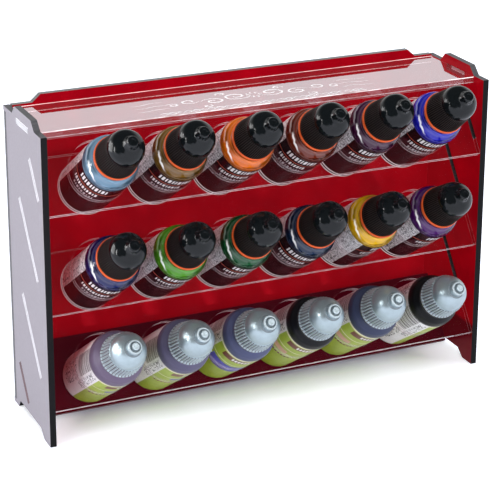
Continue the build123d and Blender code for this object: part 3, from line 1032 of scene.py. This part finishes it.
def ornament_mesh():
    """Two mirrored halves of scrolls and waves, a braid along the front and eight petals."""
    lines = ([], [])
    for hand in (-1, 1):
        for x, y, radius, turns, start, width in SCROLLS:
            turned_start = start if hand > 0 else 180 - start
            ribbon(lines, scroll(hand * x, ORNAMENT_Y + y, radius, turns, turned_start, hand), width)
        for k in range(3):
            ribbon(lines, [(hand * (44 + 2 * n), ORNAMENT_Y + 5 - 5 * k + 0.8 * math.sin(0.7 * n))
                           for n in range(9)], 0.55)
    for hand in (-1, 1):
        for k in range(9):
            ribbon(lines, [(-52 + 11.6 * k + 0.72 * n, BRAID_Y + hand * 1.3 * math.sin(0.55 * n))
                           for n in range(17)], 0.8)
    for k in range(8):
        ribbon(lines, petal(math.radians(45 * k)), 0.7)
    mesh = bpy.data.meshes.new("top_ornament")
    mesh.from_pydata(lines[0], [], lines[1])
    mesh.validate()
    return mesh


FROST = plain_material("frosted_engraving", (0.90, 0.88, 0.90), 0.6, 500.0, 0.02)
ornament = add_object("top_ornament", ornament_mesh(), Matrix.Identity(4), FROST)
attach(ornament, "rack")

# Floor, light and camera
FLOOR_HALF = 3.0
FLOOR_DROP = 0.0002
# the patch of floor where the glow fades, a painted shadow over the rack's real one: half its
# width, its middle and half its depth
SHADE_HALF_X = 0.110
SHADE_Y = 0.017
SHADE_HALF_Y = 0.026


def floor_material():
    """A pale floor with a white glow that fades under the rack into a painted shadow."""
    mat, nt, out = new_material("studio_floor")
    diffuse = nt.nodes.new("ShaderNodeBsdfDiffuse")
    diffuse.inputs["Color"].default_value = (0.80, 0.83, 0.95, 1.0)
    glow = nt.nodes.new("ShaderNodeEmission")
    glow.inputs["Color"].default_value = (1.0, 1.0, 1.0, 1.0)
    co = object_coords(nt)
    out_x = math_node(nt, "SUBTRACT", math_node(nt, "ABSOLUTE", dot(nt, co, X_AXIS)), SHADE_HALF_X)
    from_middle = math_node(nt, "SUBTRACT", dot(nt, co, Y_AXIS), SHADE_Y)
    out_y = math_node(nt, "SUBTRACT", math_node(nt, "ABSOLUTE", from_middle), SHADE_HALF_Y)
    away = math_node(nt, "MAXIMUM", out_x, out_y)
    # painted shadow: the glow fades towards the rack
    amount = remap(nt, away, -0.024, 0.002, 0.02, 0.58)
    path = nt.nodes.new("ShaderNodeLightPath")
    seen = math_node(nt, "MAXIMUM", path.outputs["Is Camera Ray"],
                     times(nt, path.outputs["Is Glossy Ray"], 0.55))
    link(nt, times(nt, seen, amount), glow.inputs["Strength"])
    both = nt.nodes.new("ShaderNodeAddShader")
    link(nt, diffuse.outputs[0], both.inputs[0])
    link(nt, glow.outputs[0], both.inputs[1])
    link(nt, both.outputs[0], out.inputs["Surface"])
    return mat


def make_floor():
    mesh = bpy.data.meshes.new("floor")
    mesh.from_pydata([(-FLOOR_HALF, -FLOOR_HALF, 0), (FLOOR_HALF, -FLOOR_HALF, 0),
                      (FLOOR_HALF, FLOOR_HALF, 0), (-FLOOR_HALF, FLOOR_HALF, 0)],
                     [], [(0, 1, 2, 3)])
    added = add_object("floor", mesh, Matrix.Identity(4), floor_material())
    added.location.z = -FLOOR_DROP
    return added


def make_world():
    """White for the camera and, for reflections, a white room low behind the rack and a dim one
    in front of it and overhead."""
    world = bpy.data.worlds.new("studio")
    bpy.context.scene.world = world
    world.use_nodes = True
    nt = world.node_tree
    nt.nodes.clear()
    out = nt.nodes.new("ShaderNodeOutputWorld")
    path = nt.nodes.new("ShaderNodeLightPath")
    plain = math_node(nt, "MAXIMUM", path.outputs["Is Camera Ray"],
                      path.outputs["Is Transmission Ray"])
    toward = nt.nodes.new("ShaderNodeTexCoord").outputs["Generated"]
    behind = remap(nt, dot(nt, toward, Y_AXIS), -0.15, 0.20, 0.0, 1.0)
    low = remap(nt, dot(nt, toward, Z_AXIS), 0.36, 0.62, 1.0, 0.10)
    room = math_node(nt, "MAXIMUM", times(nt, behind, low), 0.10)
    unseen = mix_value(nt, path.outputs["Is Glossy Ray"], 0.58, room)
    background = nt.nodes.new("ShaderNodeBackground")
    background.inputs["Color"].default_value = (1.0, 1.0, 1.0, 1.0)
    link(nt, mix_value(nt, plain, unseen, 1.0), background.inputs["Strength"])
    link(nt, background.outputs[0], out.inputs["Surface"])


def area_light(name, place, target, size, power, size_y=None, diffuse=True, glossy=True):
    """A rectangular lamp that the camera doesn't see. diffuse and glossy say what it lights."""
    data = bpy.data.lights.new(name, "AREA")
    data.energy = power
    data.shape = "RECTANGLE"
    data.size = size
    data.size_y = size_y or size
    lamp = bpy.data.objects.new(name, data)
    bpy.context.scene.collection.objects.link(lamp)
    lamp.location = place
    lamp.rotation_euler = (Vector(target) - Vector(place)).to_track_quat("-Z", "Y").to_euler()
    lamp.visible_camera = False
    lamp.visible_diffuse = diffuse
    lamp.visible_glossy = glossy


def make_lights():
    area_light("key_left", (-0.92, -0.30, 0.40), (0, -0.02, 0.10), 0.3, 4.2, 0.5, glossy=False)
    # lamps that only glossy surfaces see: a low soft box, a tall strip and a small spot
    area_light("low_box_left", (-0.55, 0.25, 0.19), (-0.06, -0.03, 0.14), 0.45, 3.0, 0.35,
               diffuse=False)
    area_light("strip_left", (-1.06, -0.21, 0.30), (0, -0.02, 0.10), 0.12, 3.4, 0.45,
               diffuse=False)
    area_light("spot_left", (-0.93, 0.35, 0.55), (0, -0.02, 0.12), 0.09, 0.48, diffuse=False)
    area_light("front_fill", (0.10, -1.45, 0.34), (0, 0, 0.08), 0.9, 21.0, glossy=False)
    area_light("top_fill", (0.0, 0.05, 1.3), (0, 0.0, 0.0), 1.0, 9.0, glossy=False)


# The camera was fitted to the rack's corners in the photograph, with its principal point held
# and a rack 250 mm wide. FIT_SCALE brings its place to the rack's 225 mm.
FIT_SCALE = 0.9
YAW, PITCH, ROLL = 0.4275, 0.3211, 0.0041
CAM_POS = (-385.1632 * FIT_SCALE, -813.4805 * FIT_SCALE + SHIFT_Y, 441.7096 * FIT_SCALE)
FOCAL_PX = 1861.2913
PRINCIPAL = (250.0, 150.0)
PHOTO_PX = 500
SENSOR = 36.0


def make_camera():
    data = bpy.data.cameras.new("camera")
    camera = bpy.data.objects.new("camera", data)
    bpy.context.scene.collection.objects.link(camera)
    bpy.context.scene.camera = camera
    ahead = Vector((math.sin(YAW) * math.cos(PITCH), math.cos(YAW) * math.cos(PITCH),
                    -math.sin(PITCH)))
    level = Vector((math.cos(YAW), -math.sin(YAW), 0.0))
    upright = level.cross(ahead)
    right = level * math.cos(ROLL) + upright * math.sin(ROLL)
    up = -level * math.sin(ROLL) + upright * math.cos(ROLL)
    place = Matrix((right, up, -ahead)).transposed().to_4x4()
    place.translation = Vector(CAM_POS) * MM
    camera.matrix_world = place
    data.sensor_fit = "HORIZONTAL"
    data.sensor_width = SENSOR
    data.lens = FOCAL_PX / PHOTO_PX * SENSOR
    data.shift_x = (PHOTO_PX / 2 - PRINCIPAL[0]) / PHOTO_PX
    data.shift_y = (PRINCIPAL[1] - PHOTO_PX / 2) / PHOTO_PX
    data.clip_start = 0.01
    data.clip_end = 20.0


floor = make_floor()
make_world()
make_lights()
make_camera()
bpy.context.scene.view_settings.view_transform = "Standard"
